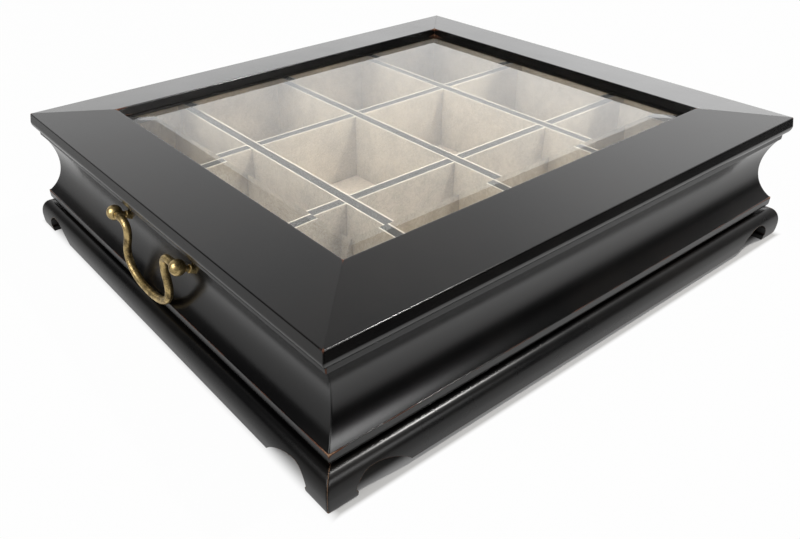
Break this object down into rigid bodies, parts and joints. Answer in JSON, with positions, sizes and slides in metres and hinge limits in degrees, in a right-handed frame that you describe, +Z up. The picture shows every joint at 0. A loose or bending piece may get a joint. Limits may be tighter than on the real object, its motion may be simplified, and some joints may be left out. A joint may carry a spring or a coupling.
{
  "type": "glass display case",
  "caption": "Low black lacquered box with a hinged bevelled-glass lid, coved sides, bracket feet, brass bail handles and suede-lined compartments for showing small things.",
  "frame": {"origin": "on the floor under the middle of the case", "axes": "+X along the front to the right end, +Y to the hinges at the back, +Z up"},
  "size_m": [0.4158, 0.3728, 0.0946],
  "materials": {
    "black_lacquer": "satin black lacquer, rubbed to red-brown wood along arrises and mitres",
    "clear_glass": "clear bevelled glass",
    "suede": "beige suede with pale cut edges",
    "grey_board": "smooth grey painted board edge",
    "bare_wood": "unfinished softwood",
    "antique_brass": "antique brass with dark recesses"
  },
  "bodies": {
    "case": {"case_wall_front": "black_lacquer", "case_wall_back": "black_lacquer", "case_wall_left": "black_lacquer", "case_wall_right": "black_lacquer", "case_bottom": "bare_wood", "floor_lining": "suede", "wall_lining_front": "suede", "wall_lining_back": "suede", "wall_lining_left": "suede", "wall_lining_right": "suede", "cross_divider_1": "grey_board", "cross_divider_2": "grey_board", "cross_divider_3": "grey_board", "long_divider_1": "grey_board", "long_divider_2": "grey_board", "cross_lining_1_left": "suede", "cross_lining_1_right": "suede", "cross_lining_2_left": "suede", "cross_lining_2_right": "suede", "cross_lining_3_left": "suede", "cross_lining_3_right": "suede", "long_lining_1_front": "suede", "long_lining_1_back": "suede", "long_lining_2_front": "suede", "long_lining_2_back": "suede", "hinge_leaf_case_left": "antique_brass", "hinge_leaf_case_right": "antique_brass", "hinge_pin_left": "antique_brass", "hinge_pin_right": "antique_brass", "base_rail_front": "black_lacquer", "base_rail_back": "black_lacquer", "base_rail_left": "black_lacquer", "base_rail_right": "black_lacquer", "corner_block_front_left": "bare_wood", "corner_block_front_right": "bare_wood", "corner_block_back_left": "bare_wood", "corner_block_back_right": "bare_wood", "handle_post_left_front": "antique_brass", "handle_post_left_back": "antique_brass", "handle_post_right_front": "antique_brass", "handle_post_right_back": "antique_brass"},
    "lid": {"lid_rail_front": "black_lacquer", "lid_rail_back": "black_lacquer", "lid_rail_left": "black_lacquer", "lid_rail_right": "black_lacquer", "lid_glass": "clear_glass", "glass_bead_front": "black_lacquer", "glass_bead_back": "black_lacquer", "glass_bead_left": "black_lacquer", "glass_bead_right": "black_lacquer", "hinge_leaf_lid_left": "antique_brass", "hinge_leaf_lid_right": "antique_brass"},
    "left_bail": {"left_bail": "antique_brass"},
    "right_bail": {"right_bail": "antique_brass"}
  },
  "joints": [
    {"name": "lid_hinge", "type": "hinge", "parent": "case", "child": "lid", "pos_m": [0, 0.1803, 0.078], "axis": [-1, 0, 0], "range_deg": [0, 100]},
    {"name": "left_bail_swing", "type": "hinge", "parent": "case", "child": "left_bail", "pos_m": [-0.2006, 0, 0.0654], "axis": [0, 1, 0], "range_deg": [0, 160]},
    {"name": "right_bail_swing", "type": "hinge", "parent": "case", "child": "right_bail", "pos_m": [0.2006, 0, 0.0654], "axis": [0, -1, 0], "range_deg": [0, 160]}
  ]
}
